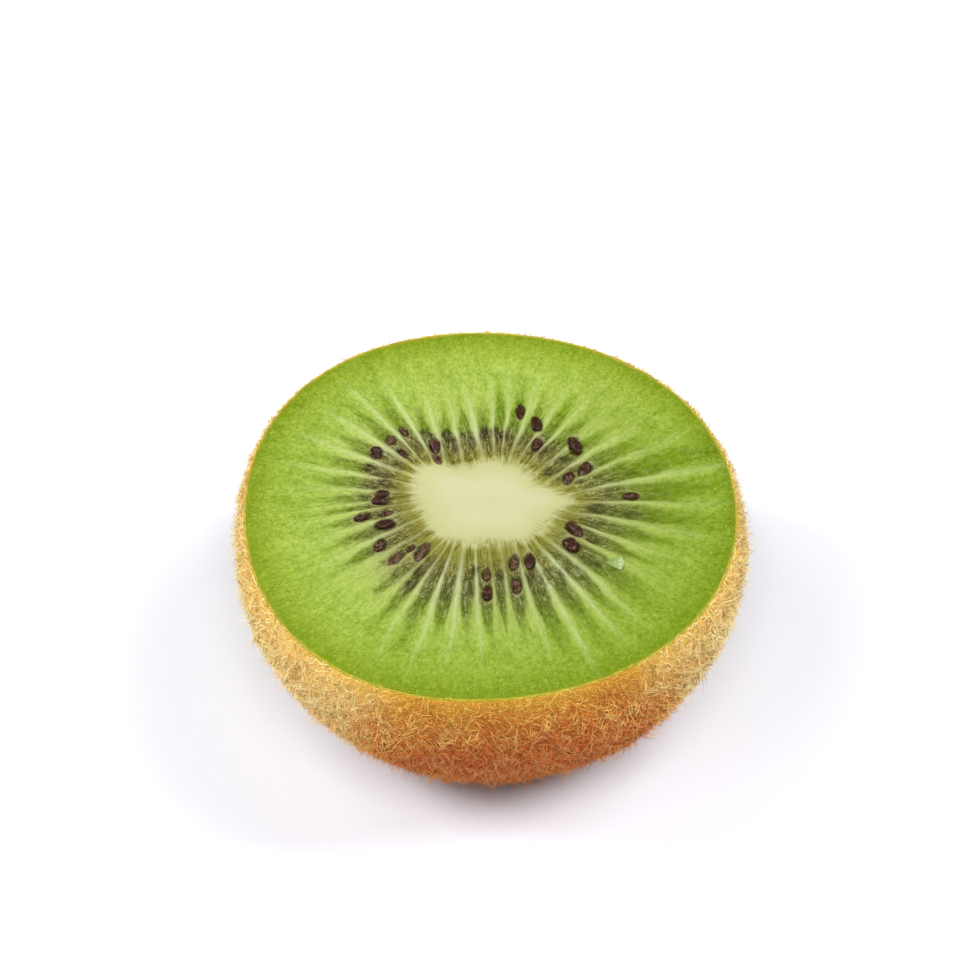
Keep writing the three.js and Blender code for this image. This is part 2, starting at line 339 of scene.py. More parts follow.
class Shader:
    """A material whose nodes are added by short calls. Values are numbers or other nodes' outputs."""

    def __init__(self, name, level=LIGHT_LEVEL):
        self.level = level
        self.material = bpy.data.materials.new(name)
        self.material.use_nodes = True
        self.tree = self.material.node_tree
        self.bsdf = self.tree.nodes["Principled BSDF"]

    def put(self, socket, value):
        if isinstance(value, bpy.types.NodeSocket):
            self.tree.links.new(value, socket)
        else:
            socket.default_value = value

    def node(self, kind, inputs=(), **settings):
        made = self.tree.nodes.new("ShaderNode" + kind)
        for key, value in settings.items():
            setattr(made, key, value)
        for key, value in dict(inputs).items():
            self.put(made.inputs[key], value)
        return made

    def math(self, operation, a, b):
        return self.node("Math", {0: a, 1: b}, operation=operation).outputs[0]

    def plus(self, first, *others):
        for other in others:
            first = self.math("ADD", first, other)
        return first

    def times(self, first, *others):
        for other in others:
            first = self.math("MULTIPLY", first, other)
        return first

    def swing(self, noise, strength):
        """How far a noise is off its middle, times the strength."""
        return self.times(self.math("SUBTRACT", noise, 0.5), strength)

    def between(self, share, a, b):
        """The number at a share of the way from one to another."""
        return self.node("Mix", {0: share, 2: a, 3: b}, data_type="FLOAT").outputs[0]

    def value(self, name):
        return self.node("Attribute", attribute_name=name).outputs["Fac"]

    def place(self, scale=1 / MM):
        found = self.node("TexCoord").outputs["Object"]
        return self.node("VectorMath", {0: found, 1: (scale,) * 3}, operation="MULTIPLY").outputs[0]

    def coordinates(self):
        """X, Y and Z in millimetres."""
        return self.node("SeparateXYZ", {0: self.place()}).outputs

    def noise(self, vector, scale=1.0, detail=3.0, roughness=0.55):
        inputs = {"Vector": vector, "Scale": scale, "Detail": detail, "Roughness": roughness}
        return self.node("TexNoise", inputs).outputs["Fac"]

    def fine_noise(self, scale, detail=3.0, roughness=0.55):
        """Noise that is alike in all directions, with this many features a millimetre."""
        return self.noise(self.place(), scale, detail, roughness)

    def ray_noise(self, across, along, detail=3.0, roughness=0.55):
        """Noise drawn out along the rays, with this many features a radian and a millimetre."""
        found = self.node("Attribute", attribute_name="ray").outputs["Vector"]
        scale = (across, across, along)
        stretched = self.node("VectorMath", {0: found, 1: scale}, operation="MULTIPLY").outputs[0]
        return self.noise(stretched, detail=detail, roughness=roughness)

    def span(self, value, low, high, to_low=0.0, to_high=1.0):
        """Runs smoothly from one result to another while the value goes from low to high."""
        inputs = {"Value": value, "From Min": low, "From Max": high, "To Min": to_low, "To Max": to_high}
        return self.node("MapRange", inputs, interpolation_type="SMOOTHSTEP").outputs[0]

    def ramp(self, value, stops):
        made = self.node("ValToRGB", {"Fac": value})
        points = made.color_ramp.elements
        while len(points) < len(stops):
            points.new(0.5)
        for point, (at, rgb) in zip(points, stops):
            point.position = at
            point.color = linear(rgb, self.level)
        return made.outputs["Color"]

    def mix(self, share, a, b):
        """The colour at a share of the way from one to another, given as sRGB values or as outputs."""
        made = self.node("Mix", {0: share}, data_type="RGBA")
        for index, value in ((6, a), (7, b)):
            is_socket = isinstance(value, bpy.types.NodeSocket)
            self.put(made.inputs[index], value if is_socket else linear(value, self.level))
        return made.outputs[2]

    def bump(self, height, distance, strength):
        inputs = {"Height": height, "Distance": distance * MM, "Strength": strength}
        return self.node("Bump", inputs).outputs[0]

    def finish(self, **values):
        for key, value in values.items():
            self.put(self.bsdf.inputs[key.replace("_", " ").title().replace("Ior", "IOR")], value)
        return self.material


# ---- flesh and core: colours
# All colours are given as they look, in sRGB values of 0 to 255. These run from the core, 0, to the skin, 1.
WALL_COLOURS = [
    (0.0, (202, 203, 130)), (0.08, (190, 188, 102)), (0.2, (178, 175, 92)), (0.3, (176, 175, 104)),
    (0.4, (190, 197, 120)), (0.55, (202, 217, 116)), (0.7, (196, 219, 104)), (0.8, (192, 216, 99)),
    (0.9, (181, 206, 76)), (1.0, (148, 172, 32)),
]
LOCULE_COLOURS = [
    (0.0, (160, 156, 74)), (0.06, (152, 147, 54)), (0.16, (142, 136, 46)), (0.24, (128, 114, 40)),
    (0.36, (118, 107, 44)), (0.46, (116, 122, 38)), (0.58, (120, 144, 22)), (0.7, (130, 164, 20)),
    (0.82, (134, 165, 32)), (0.92, (120, 150, 20)), (1.0, (104, 132, 8)),
]
BLOTCH_COLOURS = [
    (0.0, (116, 111, 32)), (0.1, (98, 90, 14)), (0.22, (72, 55, 10)), (0.34, (54, 38, 8)),
    (0.46, (60, 56, 8)), (0.6, (82, 108, 6)), (0.75, (112, 148, 10)), (1.0, (104, 136, 10)),
]
ZONES = 5.0  # the zone number at the skin
PALE_CRUMB, GREEN_CRUMB = (204, 226, 116), (104, 138, 12)
PAINTED_SHADE_GREY = (94, 74, 54)
ICE_BY_CORE, ICE, ICE_SHADE = (192, 198, 112), (186, 188, 134), (50, 48, 6)
PAINTED_GLINT, GLINT_SHADE = (214, 218, 144), (38, 34, 4)
CREST_AND_SHEEN_BY_CORE, CREST_AND_SHEEN = (222, 230, 176), (218, 234, 158)
RIM_GLOW_YELLOW = (176, 172, 54)
BURIED_SEED_AND_HALO, BURIED_SEED_AND_HALO_DARK, SEED_LIP = (80, 62, 44), (44, 28, 10), (206, 190, 140)
CORE_EDGE, CORE_MIDDLE = (214, 214, 154), (226, 224, 178)
PAINTED_JUICE_GLINT = (226, 238, 172)
PAINTED_SHADE_GREEN, RICH_GREEN = (104, 138, 30), (118, 136, 0)
TO_LIGHT = (-0.5, 0.87, 0)


def pulp_fields(m):
    """The stored values and the noises that the steps of the pulp's colour share."""
    f = SimpleNamespace(from_core=m.value("from_core"), band=m.value("band"), locule=m.value("locule"))
    f.strands = m.ray_noise(34, 0.5, detail=4, roughness=0.65)
    f.fibres = m.ray_noise(26, 0.35)
    f.cells = m.ray_noise(84, 1.6, roughness=0.65)
    f.ice = m.ray_noise(50, 1.0, roughness=0.75)
    f.mottle = m.fine_noise(2.0, detail=4, roughness=0.65)
    f.soft = m.fine_noise(0.55, detail=2)
    f.inside = m.plus(f.locule, m.swing(f.fibres, m.span(f.band, 1.5, 3.8, 0.3, 0.9)))
    f.outer = m.span(f.band, 2.9, 4.2)
    # How far a point lies towards the light; it steers the painted shade on the cut.
    f.lit = m.node("VectorMath", {0: m.place(), 1: TO_LIGHT}, operation="DOT_PRODUCT").outputs["Value"]
    return f


def walls_and_locules(m, f):
    """The colour of the flesh: pale walls, darker locules, and grain, zone by zone to the skin."""
    wobble = m.swing(f.fibres, m.span(f.band, 4.2, 4.7, 1.3, 0.5))
    where = m.math("DIVIDE", m.plus(f.band, wobble), ZONES)
    wall, milky, deep = (m.ramp(where, stops) for stops in (WALL_COLOURS, LOCULE_COLOURS, BLOTCH_COLOURS))
    blotch = m.ray_noise(34, 0.9, detail=4, roughness=0.7)
    dark = m.mix(m.span(blotch, 0.44, 0.62, 0.0, 0.9), milky, deep)
    # Beside the core the walls hardly stand out from the olive tissue between them.
    faint = m.times(m.span(f.band, 2.0, 0.7), m.span(m.value("wall_shine"), 0.2, 0.8, 0.62, 0.3))
    brushed = m.swing(f.strands, m.span(f.band, 0.8, 2.6, 1.7, 0.6))
    inner = m.plus(m.between(faint, m.span(f.inside, 0.08, 0.92), 0.5), brushed)
    beyond = m.plus(
        m.swing(f.fibres, m.span(f.band, 3.6, 4.6, 0.9, 0.14)),
        m.swing(f.soft, m.span(f.band, 4.0, 4.8, 0.7, 0.15)),
        m.times(f.locule, 0.55),
        m.math("SUBTRACT", 0.44, m.times(m.value("paleness"), 0.16)),
    )
    grain = m.plus(m.times(f.cells, 0.55), m.times(f.mottle, 0.45))
    grainy = m.swing(grain, m.span(f.band, 1.0, 2.2, 1.8, 2.4))
    pulp = m.mix(m.plus(m.between(f.outer, inner, beyond), grainy), wall, dark)
    crumbs = m.fine_noise(3.4, detail=4, roughness=0.7)
    pulp = m.mix(m.times(m.span(crumbs, 0.53, 0.72, 0, 0.65), f.outer), pulp, PALE_CRUMB)
    return m.mix(m.times(m.span(crumbs, 0.47, 0.3, 0, 0.7), f.outer), pulp, GREEN_CRUMB)


def with_crushed_cells(m, f, pulp):
    """Adds the cut cells of the locules, like crushed ice, with painted shade that greys them on the side
    away from the light, and painted glints.
    """
    in_locule = m.times(
        m.span(f.inside, 0.25, 0.8), m.span(f.band, 0.5, 1.1), m.span(f.band, 2.0, 3.8, 1.0, 0.25),
    )
    # Painted shade: the locules turn greyer on the side away from the light.
    greyed_by_painted_shade = m.times(in_locule, m.span(f.band, 1.2, 2.0), m.span(f.lit, 0, -10, 0, 0.35))
    pulp = m.mix(greyed_by_painted_shade, pulp, PAINTED_SHADE_GREY)
    icy = m.mix(m.span(f.band, 1.0, 2.0), ICE_BY_CORE, ICE)
    # Painted glints: pale specks that stand in for wet highlights, with dark specks among them.
    glints = m.fine_noise(8.0, detail=2, roughness=0.6)
    for noise, low, high, most, colour in (
        (f.ice, 0.53, 0.64, 0.85, icy), (f.ice, 0.47, 0.37, 0.85, ICE_SHADE),
        (glints, 0.57, 0.68, 0.6, PAINTED_GLINT), (glints, 0.43, 0.32, 0.6, GLINT_SHADE),
    ):
        pulp = m.mix(m.times(m.span(noise, low, high, 0, most), in_locule), pulp, colour)
    return pulp


def with_crests(m, f, pulp):
    """Adds the pale crests of the walls with a painted wet highlight on them, and a yellow line beside the
    skin painted as light shining through the thin edge.
    """
    streaks = m.ray_noise(60, 0.9, roughness=0.6)
    # The crests are the walls' pale lines with a painted wet highlight over them.
    crest = m.mix(m.span(f.band, 2.2, 3.2), CREST_AND_SHEEN_BY_CORE, CREST_AND_SHEEN)
    pulp = m.mix(m.times(m.value("wall_line"), m.span(streaks, 0.28, 0.58, 0.35, 0.95)), pulp, crest)
    # Painted light: a yellow line beside the skin, where light shines through the thin edge.
    return m.mix(m.times(m.span(m.value("from_rim"), 0.25, 0.0), 0.5), pulp, RIM_GLOW_YELLOW)


def with_seed_shades(m, f, pulp):
    """Adds the seeds that lie under the surface, the painted shade round the bared ones, and the pale lip
    beside the bared ones.
    """
    shade = m.value("buried_seed_and_halo")
    pulp = m.mix(m.times(shade, m.span(f.mottle, 0.3, 0.55, 0.4, 1.0)), pulp, BURIED_SEED_AND_HALO)
    pulp = m.mix(m.times(shade, m.span(f.ice, 0.54, 0.42)), pulp, BURIED_SEED_AND_HALO_DARK)
    return m.mix(m.times(m.value("seed_lip"), m.span(f.mottle, 0.35, 0.6, 0.1, 0.7)), pulp, SEED_LIP)


def with_core(m, f, pulp):
    """Adds the core, with fibres that reach out between the locules."""
    reach = m.plus(f.from_core, m.swing(f.strands, 2.2), m.swing(f.soft, 1.6))
    reach = m.math("SUBTRACT", reach, m.times(m.value("wall_root"), 0.5))
    heart = m.mix(m.span(f.from_core, -0.6, -4.0), CORE_EDGE, CORE_MIDDLE)
    return m.mix(m.span(reach, 0.75, -1.0), pulp, heart)


def painted_juice_glints(m, f):
    """Where specks of juice catch the light, painted into the colour as pale glints."""
    drops = m.node("TexVoronoi", {"Vector": m.place(), "Scale": 2.4}).outputs
    chosen = m.node("SeparateColor", {0: drops["Color"]}).outputs[0]
    rarity = m.span(f.band, 2.6, 3.8, 0.8, 0.975)
    return m.times(
        m.span(drops["Distance"], 0.3, 0.12), m.math("GREATER_THAN", chosen, rarity),
        m.span(f.band, 3.0, 4.0, 0.7, 0.3), m.span(f.from_core, 1.0, 4.0),
    )


def painted_shade_and_right_tone(m, f, colour):
    """Paints shade that deepens the green far from the light, and makes the locules on the right yellower.
    """
    colour = m.mix(m.span(f.lit, -24, 24, 0.16, 0.0), colour, PAINTED_SHADE_GREEN)
    to_right = m.coordinates()[0]
    richer = m.times(
        m.span(to_right, 2, 16, 0, 0.17), m.span(f.from_core, 0.5, 2.5), m.span(f.band, 3.6, 4.3, 1.0, 0.3),
    )
    return m.mix(richer, colour, RICH_GREEN)


def pulp_material():
    """Wet green flesh and pale core, from the zones, locules and rays stored on the mesh."""
    m = Shader("kiwi_pulp")
    f = pulp_fields(m)
    colour = walls_and_locules(m, f)
    for add in (with_crushed_cells, with_crests, with_seed_shades, with_core):
        colour = add(m, f, colour)
    specks = painted_juice_glints(m, f)
    # Painted glints: the pale juice specks.
    colour = painted_shade_and_right_tone(m, f, m.mix(specks, colour, PAINTED_JUICE_GLINT))
    uneven_cells = m.times(
        m.plus(m.times(f.cells, 0.6), f.mottle), m.span(f.from_core, -0.5, 1.5, 0.15, 1.0),
        m.span(f.band, 3.0, 4.2, 1.0, 0.55),
    )
    normal = m.bump(m.plus(uneven_cells, m.times(specks, 0.6)), 0.27, 0.9)
    return m.finish(
        base_color=colour, roughness=0.45, ior=1.38, specular_ior_level=0.09, normal=normal,
        coat_weight=0.07, coat_roughness=0.1, coat_normal=normal,
    )


# ---- other materials
def seed_material():
    """Brown-black seeds with painted highlight flecks; the less clean ones carry a milky film of flesh."""
    m = Shader("kiwi_seed")
    patches = m.fine_noise(1.5, roughness=0.65)
    fine = m.fine_noise(6.0, detail=4, roughness=0.7)
    colour = m.mix(m.span(fine, 0.36, 0.66), (20, 4, 0), (98, 48, 28))
    film = m.plus(m.value("film"), m.swing(patches, 3.4))
    colour = m.mix(m.span(film, 0.1, 0.8, 0, 0.8), colour, (140, 104, 80))
    # Painted highlights: pale pink flecks.
    colour = m.mix(m.span(fine, 0.6, 0.7, 0, 0.6), colour, (196, 150, 120))
    pulpy = m.plus(m.fine_noise(1.1, detail=2), m.times(m.value("film"), 0.3))
    colour = m.mix(m.span(pulpy, 0.63, 0.75, 0, 0.5), colour, (112, 94, 54))
    return m.finish(
        base_color=colour, roughness=0.4, ior=1.45, specular_ior_level=0.15, normal=m.bump(fine, 0.25, 0.9),
        coat_weight=0.22, coat_roughness=0.24,
    )


def scrap_material():
    """The scrap of pulp on the cut, clear at its inner end and icy at its outer edge."""
    m = Shader("kiwi_scrap")
    fine = m.fine_noise(3.2, detail=4, roughness=0.7)
    icy = m.plus(m.value("outer_end"), m.swing(fine, 1.6))
    colour = m.ramp(icy, [
        (0.1, (146, 172, 76)), (0.5, (166, 196, 104)), (0.8, (192, 218, 138)), (1.0, (226, 240, 186)),
    ])
    return m.finish(
        base_color=colour, roughness=0.35, specular_ior_level=0.2, normal=m.bump(fine, 0.3, 0.9),
        coat_weight=0.2, coat_roughness=0.1,
    )


def painted_light_tone(m):
    """Painted light and shade: 0 where the side is red-brown, low at the front, and 1 where it is pale gold,
    towards the sides, the back and the cut, with a random tone over it.
    """
    x, y, z = m.coordinates()
    sideways = m.math("ABSOLUTE", m.math("SUBTRACT", x, 2.6), 0.0)
    return m.plus(
        m.span(sideways, 8, 24, 0.0, 0.85), m.span(y, -4, 16, 0.0, 0.5), m.span(z, 14, 26, 0.0, 0.5),
        m.swing(m.fine_noise(0.16), 1.0),
    )


def skin_material():
    """Dry skin with darker specks, paler towards the cut, partly from painted light, and its thin cut edge
    painted yellow where light shines through it.
    """
    m = Shader("kiwi_skin", SIDE_LEVEL)
    fine = m.fine_noise(2.2, detail=5, roughness=0.7)
    specks = m.node("TexVoronoi", {"Vector": m.place(), "Scale": 1.5}).outputs["Distance"]
    tone = m.plus(painted_light_tone(m), m.swing(fine, 1.2))
    # The skin's colour follows the painted light: redder low at the front, paler gold to the sides and the
    # cut.
    colour = m.ramp(tone, [
        (0.0, (158, 74, 28)), (0.3, (162, 82, 30)), (0.6, (180, 116, 46)), (1.0, (202, 162, 90)),
    ])
    colour = m.mix(m.span(specks, 0.2, 0.06, 0, 0.6), colour, (120, 62, 22))
    below = m.value("below_rim")
    frayed = m.plus(below, m.swing(fine, 1.6))
    colour = m.mix(m.span(frayed, 2.4, 0.4, 0, 0.55), colour, (182, 146, 52))
    # Painted light: the thin cut edge glows yellow-olive as if lit through, broken up by noise.
    glow_breakup = m.fine_noise(0.9, detail=4, roughness=0.7)
    edge = m.mix(m.span(glow_breakup, 0.4, 0.6), (118, 128, 32), (152, 140, 42))
    colour = m.mix(m.span(below, 0.24, 0.06, 0, 0.9), colour, edge)
    normal = m.bump(fine, 0.15, 0.8)
    return m.finish(base_color=colour, roughness=0.75, specular_ior_level=0.1, normal=normal)


def fuzz_material():
    """Hairs from matted brown to pale gold, some of them dark or ruddy."""
    m = Shader("kiwi_fuzz", SIDE_LEVEL)
    tint, tone = m.value("tint"), painted_light_tone(m)
    # The hairs' colours follow the painted light: redder low at the front, paler gold to the sides and the
    # cut.
    matted = m.ramp(tone, [
        (0.0, (214, 108, 46)), (0.3, (212, 107, 38)), (0.6, (226, 152, 64)), (1.0, (240, 206, 128)),
    ])
    strand = m.ramp(tone, [
        (0.0, (254, 178, 108)), (0.3, (254, 182, 102)), (0.6, (254, 206, 124)), (1.0, (254, 226, 170)),
    ])
    colour = m.mix(m.span(tint, 0.35, 0.95), matted, strand)
    # Dark hairs, most of them in the undercoat, also paint the shade in the gaps between the longer hairs.
    colour = m.mix(m.span(tint, 0.25, 0.05, 0.0, 0.7), colour, (120, 58, 20))
    ruddy = m.times(m.math("GREATER_THAN", m.value("ruddy"), 0.88), 0.4)
    colour = m.mix(ruddy, colour, (226, 96, 40))
    # There are more dark hairs on the right.
    to_right, _, height = m.coordinates()
    dim = m.times(m.span(tint, 0.42, 0.2), m.span(to_right, 8, 20, 0, 0.5))
    colour = m.mix(dim, colour, (112, 56, 18))
    under_rim = m.span(height, DEPTH - 5, DEPTH - 0.5, 0.0, 0.45)
    golden = m.times(under_rim, m.span(tone, 1.2, 0.6, 0.3, 1.0))
    colour = m.mix(golden, colour, (198, 172, 54))
    return m.finish(
        base_color=colour, roughness=0.6, specular_ior_level=0.05, sheen_weight=0.12, sheen_roughness=0.5,
        sheen_tint=(1.0, 0.8, 0.5, 1.0),
    )


def floor_material():
    m = Shader("floor")
    soft = m.noise(m.place(1.0), scale=6.0, detail=2)
    shades = {0: soft, 6: (0.735, 0.752, 0.81, 1), 7: (0.75, 0.767, 0.825, 1)}
    colour = m.node("Mix", shades, data_type="RGBA").outputs[2]
    return m.finish(base_color=colour, roughness=0.7, specular_ior_level=0.1)


# ---- the cut face and the flesh
class Face:
    """The rays of the cut face."""

    def __init__(self, angle):
        self.edge, rim = core_end(angle), rim_end(angle)
        along = rim - self.edge
        full = np.linalg.norm(along, axis=-1)
        self.along = along / full[..., None]
        self.length = full - SKIN  # to where the skin begins

    def point(self, distance):
        return self.edge + self.along * distance[..., None]


face = Face(angles)
core_shift = round_the_circle(CORE_SHIFT, angles)
# Each wall's place, width and lean, and each locule's depth of colour beside the seeds.
wall_numbers = np.arange(-1, LOCULES + 2)
wall_places = wall_numbers + np.take(WALL_SHIFT, wall_numbers, mode="wrap")
wall_width = rng.uniform(0.75, 1.3, LOCULES)
wall_lean = rng.uniform(-1, 1, LOCULES)
locule_depth = rng.uniform(0.75, 1.02, LOCULES)


def seed_spot(place, distance):
    ray = Face(np.array([place / LOCULES * TURN]))
    return ray.point(np.array([distance]))[0], ray.along[0]


def turned(along, degrees):
    """A direction on the cut face, turned to the left."""
    c, s = math.cos(math.radians(degrees)), math.sin(math.radians(degrees))
    return np.array([c * along[0] - s * along[1], s * along[0] + c * along[1]])


def seed_distance(points, place, distance, length, width, turn=0):
    """Distance from a seed's middle, where 1 is its outline, and how far to its outer side."""
    middle, along = seed_spot(place, distance)
    along = turned(along, turn)
    offset = points - middle
    lengthways = offset @ along * 2 / length
    sideways = offset @ turned(along, 90) * 2 / width
    return np.hypot(lengthways, sideways), lengthways


def zones(distance, length):
    """Between core and skin, the zone number: 1 where the first zone ends, to 5. And the locules' ends."""
    stops = [round_the_circle(ends, angles) for ends in (OLIVE_END, SEED_ZONE_END, GREY_END, LOCULE_END)]
    stops = [np.zeros(COLUMNS), *stops, length]
    parts = [np.clip((distance - a) / (b - a), 0, 1) for a, b in zip(stops, stops[1:])]
    return sum(parts), stops[4]


def face_fields(flat, distance, length):
    """What the pulp material reads at points of the cut face."""
    band, tip = zones(distance, length)
    across = np.interp(angles / TURN * LOCULES, wall_places, wall_numbers)
    across = across + 0.015 * waves(flat, 1.7) + 0.03 * waves(flat, 5.0)
    wall = np.round(across).astype(int) % LOCULES
    beside = across - np.round(across)
    off_wall = np.abs(beside)
    pitch = (distance + RAY_START) * TURN / LOCULES
    reach = distance / (tip * per_locule(LOCULE_LENGTH, across))
    pale = 0.14 * wall_width[wall] / pitch + 0.03 * smoothstep(distance, 3, 6)
    pale = pale + 0.06 * smoothstep(reach, 0.25, 0.5) + 0.22 * smoothstep(reach, 0.4, 1.0)
    far_side = smoothstep(beside * wall_lean[wall], 0, 0.1) * smoothstep(reach, 0.15, 0.5)
    soft = 0.14 + 0.26 * reach + 0.2 * far_side
    locule = np.clip(0.5 + (off_wall - pale) / soft, 0, 1)
    near, far = per_locule(locule_depth, across), per_locule(LOCULE_DARK, across)
    locule = locule * (near + (far - near) * smoothstep(distance, 3.5, 6.5))
    locule = locule * (1 - smoothstep(reach, 0.55, 1.25))
    shine = round_the_circle(WALL_SHINE, across / LOCULES * TURN)
    line_off = np.abs(beside + 0.1 * wall_lean[wall] * smoothstep(reach, 0.1, 0.8))
    line = np.exp(-((line_off * pitch / (0.24 * wall_width[wall])) ** 2)) * shine
    line = line * smoothstep(distance, -0.2, 4.5) * (1 - smoothstep(reach, 0.55, 1.25))
    ridge = np.exp(-((off_wall * pitch / 0.32) ** 2))
    return band, locule, line, ridge, reach, shine


def face_height(points, ridge, reach, from_rim):
    """Height over the cut: walls that stand up, locules that sink in, and a cut that isn't quite flat."""
    fade = smoothstep(reach, 0.0, 0.2) * (1 - smoothstep(reach, 0.7, 1.05))
    height = fade * (0.24 * ridge - 0.12)
    height = height + 0.06 * waves(points, 6.0) + 0.035 * waves(points, 1.8) + 0.02 * waves(points, 0.7)
    return height - 0.04 * (1 - smoothstep(from_rim, 0, 0.5))


def seed_marks(flat, locule, height):
    """Where buried seeds darken the flesh and painted shade rings bared ones, the pale lips beside bared
    ones, and the cut dented round them.
    """
    shade, lip = np.zeros_like(locule), np.zeros_like(locule)
    for place, at, clear in DIM_SEEDS:
        away, _ = seed_distance(flat, place, at, *rng.uniform(LEAST_DIM_SEED, LARGEST_DIM_SEED))
        under = 0.2 + 0.8 * smoothstep(locule, 0.1, 0.45)
        shade = np.maximum(shade, clear * under * (1 - smoothstep(away, 0.6, 1.4)))
    for place, at, length, width, turn, clean in BARED_SEEDS:
        away, outer_side = seed_distance(flat, place, at, length, width, turn)
        # Painted shade: a dark halo round each bared seed, coloured like a buried seed.
        shade = np.maximum(shade, 0.8 * (1 - smoothstep(away, 1.0, 1.5 - 0.2 * clean)))
        crescent = smoothstep(away, 1.05, 1.2) * (1 - smoothstep(away, 1.25, 1.6))
        lip = np.maximum(lip, crescent * smoothstep(outer_side * rng.choice([1, 1, -1]), 0.2, 1.0))
        height = height - SEED_DENT * (1 - smoothstep(away, 0.7, 1.3))
    return shade, lip, height


def ray_coordinates(distance):
    """What the noises along the rays read: the bearing, as a point of a circle, and the distance."""
    turns = np.broadcast_to(angles, distance.shape)
    return np.cos(turns), np.sin(turns), distance


def make_flesh(material):
    shares = np.linspace(0, 1, FACE_RINGS + 1)[:, None]
    distance = shares * face.length
    flat = face.point(distance)
    from_rim = face.length - distance
    band, locule, line, ridge, reach, shine = face_fields(flat, distance, face.length)
    height = face_height(flat, ridge, reach, from_rim)
    shade, lip, height = seed_marks(flat, locule, height)
    height = height * smoothstep(distance, 0, 0.3)
    top = np.concatenate([flat, (DEPTH + height)[..., None]], -1)

    # Down inside the skin to the foot, and down the pit round the core.
    inner, pit = inside_skin(angles, 12, FLESH_FOOT), round_the_core()
    rings = np.concatenate([inner[::-1], top[::-1], pit])
    points, faces = closed_rings(rings, on_axis(FLESH_FOOT), on_axis(DEPTH - CORE_DEPTH))
    piece = make_piece("kiwi_flesh", points, faces, material)

    def spread(values):
        outside, inside = np.repeat(values[-1:], len(inner), 0), np.repeat(values[:1], len(pit), 0)
        return np.append(np.concatenate([outside, values[::-1], inside]), [values[-1, 0], values[0, 0]])

    fields = {
        "from_core": distance - core_shift, "band": band, "locule": locule, "wall_line": line,
        "from_rim": from_rim, "buried_seed_and_halo": shade, "seed_lip": lip, "wall_shine": shine,
        "wall_root": ridge * (1 - smoothstep(distance, 0, 3.0)),
        "paleness": np.broadcast_to(round_the_circle(PALENESS, angles), distance.shape),
    }
    for name, values in fields.items():
        add_attribute(piece, name, spread(values))
    add_attribute(piece, "ray", np.stack([spread(f) for f in ray_coordinates(distance)], -1))
    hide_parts("flesh")


def make_core(material):
    shares = np.linspace(1, 0, CORE_RINGS + 1)[:-1, None] ** 0.9
    flat = CORE_CENTRE + (face.edge - CORE_CENTRE) * shares[..., None]
    distance = -np.linalg.norm(face.edge - flat, axis=-1)
    height = (0.04 * waves(flat, 3.0) - CORE_SINK) * smoothstep(-distance, 0, 1.0)
    top = np.concatenate([flat, (DEPTH + height)[..., None]], -1)
    side = round_the_core()
    rings = np.concatenate([side[::-1], top])
    centre = np.append(CORE_CENTRE, DEPTH - CORE_SINK)
    points, faces = closed_rings(rings, on_axis(DEPTH - CORE_DEPTH), centre)
    piece = make_piece("kiwi_core", points, faces, material)

    def spread(values, fill):
        on_side = np.full(side.shape[:2], fill)
        return np.append(np.concatenate([on_side, values]).reshape(-1), [fill, values[-1, 0]])

    from_core = distance - core_shift * smoothstep(distance, -3, 0)
    add_attribute(piece, "from_core", spread(from_core, -3.0))
    # The core lies inside all zones, far from the rim, and has no walls, locules or seeds.
    fills = {
        "band": 0.0, "locule": 0.5, "wall_line": 0.0, "from_rim": 15.0, "buried_seed_and_halo": 0.0,
        "seed_lip": 0.0, "wall_shine": 0.5, "wall_root": 0.0, "paleness": 0.0,
    }
    for name, fill in fills.items():
        add_attribute(piece, name, spread(np.full(distance.shape, fill), fill))
    add_attribute(piece, "ray", np.stack([spread(f, 0.0) for f in ray_coordinates(distance)], -1))
    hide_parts("core")


def make_seeds(material):
    """Ovoid seeds, blunter at the outer end, each half sunk in the flesh at its own turn."""
    x, girth_there, turns = lengthwise_rings(16, 24)
    thick = girth_there**0.85 * (1 + 0.16 * x)
    ball = np.stack([x, thick * np.cos(turns), thick * np.sin(turns)], -1)
    all_points, all_faces, films = [], [], []
    for place, at, length, width, turn, clean in BARED_SEEDS:
        middle, along = seed_spot(place, at)
        size = np.array([length, 0.94 * width, 0.85 * width]) * 0.48
        points, faces = lengthwise_solid(ball, size)
        points = points * (1 + 0.17 * waves(points, 0.7)[:, None] + 0.08 * waves(points, 0.35)[:, None])
        yaw, tilt = math.atan2(along[1], along[0]) + math.radians(turn), rng.normal() * 0.12
        placed = points @ rotation(tilt, 0, 2) @ rotation(yaw, 0, 1)
        start = sum(len(p) for p in all_points)
        all_points.append(placed + np.append(middle, DEPTH - SEED_SINK - FILMED_SEED_SINK * (1 - clean)))
        all_faces.append([f + start for f in faces])
        films.append(np.full(len(points), 1 - clean))
    sides = np.concatenate([f[0] for f in all_faces])
    caps = np.concatenate([cap for f in all_faces for cap in f[1:]])
    piece = make_piece("kiwi_seeds", np.vstack(all_points), [sides, caps], material)
    add_attribute(piece, "film", np.concatenate(films))


